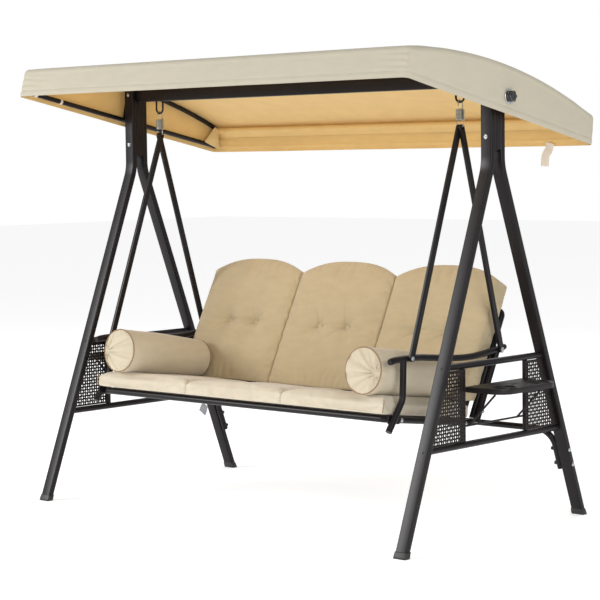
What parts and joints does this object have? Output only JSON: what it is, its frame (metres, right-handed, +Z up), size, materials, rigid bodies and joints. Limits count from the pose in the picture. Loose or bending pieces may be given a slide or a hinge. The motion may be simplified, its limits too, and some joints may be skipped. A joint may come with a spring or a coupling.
{
  "type": "canopy swing bench",
  "caption": "Garden swing bench hung on springs from an A-frame stand, with a tilting fabric canopy, cushions, bolsters and folding side trays.",
  "frame": {"origin": "on the floor, midway between the four feet", "axes": "+Z up, the front of the seat faces -Y, +X towards the right-hand side of a person looking at the front"},
  "size_m": [2.274, 1.1658, 1.8023],
  "materials": {
    "powder_coat": "satin dark bronze powder coat on steel tube",
    "perforated_sheet": "perforated steel sheet, dark bronze powder coat",
    "black_steel": "black coated steel rod",
    "zinc": "bright zinc plated steel",
    "black_plastic": "moulded black plastic",
    "canopy_fabric": "coated plain-weave canopy fabric, cream",
    "sling_fabric": "open-weave coated mesh",
    "cushion_fabric": "woven polyester cushion fabric, sand"
  },
  "bodies": {
    "frame": {"centre_post_left": "powder_coat", "centre_post_right": "powder_coat", "foot_cap_front_left": "black_plastic", "foot_cap_front_right": "black_plastic", "foot_cap_rear_left": "black_plastic", "foot_cap_rear_right": "black_plastic", "hook_bolt_left": "black_steel", "hook_bolt_right": "black_steel", "leg_front_left": "powder_coat", "leg_front_right": "powder_coat", "leg_rear_left": "powder_coat", "leg_rear_right": "powder_coat", "rear_crossbar": "powder_coat", "side_bottom_rail_left": "powder_coat", "side_bottom_rail_right": "powder_coat", "side_panel_front_left": "perforated_sheet", "side_panel_front_right": "perforated_sheet", "side_panel_rear_left": "perforated_sheet", "side_panel_rear_right": "perforated_sheet", "side_top_rail_left": "powder_coat", "side_top_rail_right": "powder_coat", "top_beam": "powder_coat"},
    "canopy": {"canopy_arch_rail_left": "powder_coat", "canopy_arch_rail_right": "powder_coat", "canopy_cover": "canopy_fabric", "canopy_front_rail": "powder_coat", "canopy_lower_rail_left": "powder_coat", "canopy_lower_rail_right": "powder_coat", "canopy_rear_rail": "powder_coat"},
    "knob_left": {"tilt_knob_left": "black_plastic"},
    "tray_left": {"side_tray_left": "powder_coat"},
    "strut_left": {"tray_strut_left": "powder_coat"},
    "knob_right": {"tilt_knob_right": "black_plastic"},
    "tray_right": {"side_tray_right": "powder_coat"},
    "strut_right": {"tray_strut_right": "powder_coat"},
    "springs": {"spring_left": "zinc", "spring_right": "zinc"},
    "swing": {"armrest_left": "powder_coat", "armrest_right": "powder_coat", "back_cushion": "cushion_fabric", "back_side_tube_left": "powder_coat", "back_side_tube_right": "powder_coat", "back_sling": "sling_fabric", "back_top_rail": "powder_coat", "bolster_left": "cushion_fabric", "bolster_right": "cushion_fabric", "hanger_bar_front_left": "powder_coat", "hanger_bar_front_right": "powder_coat", "hanger_bar_rear_left": "powder_coat", "hanger_bar_rear_right": "powder_coat", "hanger_bolt_front_left": "zinc", "hanger_bolt_front_right": "zinc", "hanger_bolt_rear_left": "zinc", "hanger_bolt_rear_right": "zinc", "seat_cushion": "cushion_fabric", "seat_front_rail": "powder_coat", "seat_rear_rail": "powder_coat", "seat_side_rail_left": "powder_coat", "seat_side_rail_right": "powder_coat", "seat_sling": "sling_fabric"}
  },
  "joints": [
    {"name": "canopy_tilt", "type": "hinge", "parent": "frame", "child": "canopy", "pos_m": [0, 0, 1.634], "axis": [1, 0, 0], "range_deg": [-23, 31]},
    {"name": "knob_turn_left", "type": "hinge", "parent": "frame", "child": "knob_left", "pos_m": [-1.04, 0, 1.634], "axis": [-1, 0, 0], "range_deg": [0, 360]},
    {"name": "knob_turn_right", "type": "hinge", "parent": "frame", "child": "knob_right", "pos_m": [1.04, 0, 1.634], "axis": [1, 0, 0], "range_deg": [0, 360]},
    {"name": "swing", "type": "hinge", "parent": "frame", "child": "springs", "pos_m": [0, 0, 1.62], "axis": [1, 0, 0], "range_deg": [-25, 25]},
    {"name": "seat_bounce", "type": "slide", "parent": "springs", "child": "swing", "axis": [0, 0, -1], "range_m": [0, 0.035], "stiffness_N_per_m": 12000, "springref_m": -0.025, "deforming": ["spring_left", "spring_right"]},
    {"name": "tray_fold_left", "type": "hinge", "parent": "frame", "child": "tray_left", "pos_m": [-0.967, 0, 0.56], "axis": [0, -1, 0], "range_deg": [0, 82]},
    {"name": "tray_fold_right", "type": "hinge", "parent": "frame", "child": "tray_right", "pos_m": [0.967, 0, 0.56], "axis": [0, 1, 0], "range_deg": [0, 82]},
    {"name": "strut_fold_left", "type": "hinge", "parent": "frame", "child": "strut_left", "pos_m": [-0.957, 0, 0.43], "axis": [0, -1, 0], "range_deg": [0, 114.8]},
    {"name": "strut_fold_right", "type": "hinge", "parent": "frame", "child": "strut_right", "pos_m": [0.957, 0, 0.43], "axis": [0, 1, 0], "range_deg": [0, 114.8]}
  ],
  "couplings": [
    {"joint": "strut_fold_left", "follows": "tray_fold_left", "ratio": 1.4},
    {"joint": "strut_fold_right", "follows": "tray_fold_right", "ratio": 1.4}
  ]
}
